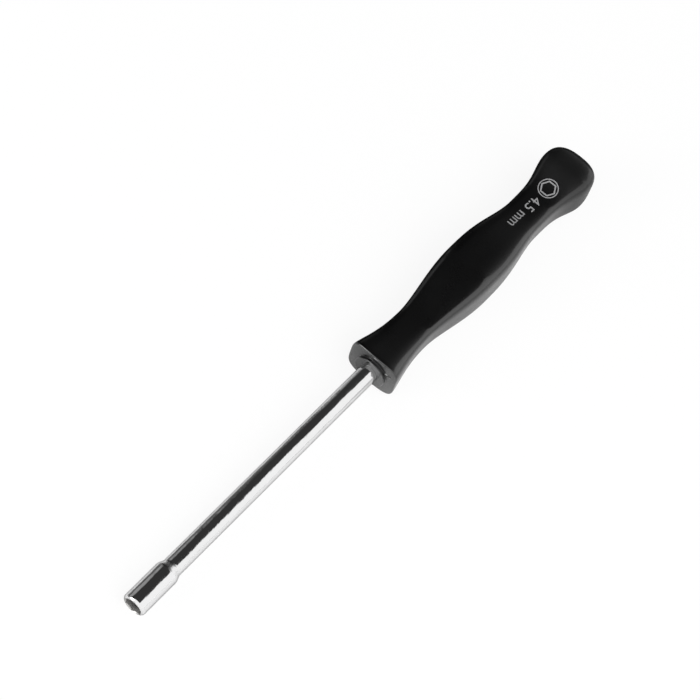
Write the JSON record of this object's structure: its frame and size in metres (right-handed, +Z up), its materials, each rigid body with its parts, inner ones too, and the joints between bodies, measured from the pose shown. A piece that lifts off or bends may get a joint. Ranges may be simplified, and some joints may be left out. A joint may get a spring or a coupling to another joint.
{
  "type": "carburetor adjustment tool",
  "caption": "Hand driver for carburetor adjusting screws: a plated steel shaft with a hex socket at its tip, fixed in a waisted black plastic handle.",
  "frame": {"origin": "centre of the hex socket's mouth, on the tool's axis", "axes": "+X along the tool from the socket's mouth to the end of the handle, +Z up from a broad face of the handle"},
  "size_m": [0.178, 0.0154, 0.014],
  "materials": {
    "black_plastic": "satin moulded",
    "plated_steel": "bright plated"
  },
  "bodies": {
    "root": {"handle": "black_plastic", "shaft": "plated_steel"}
  },
  "joints": []
}
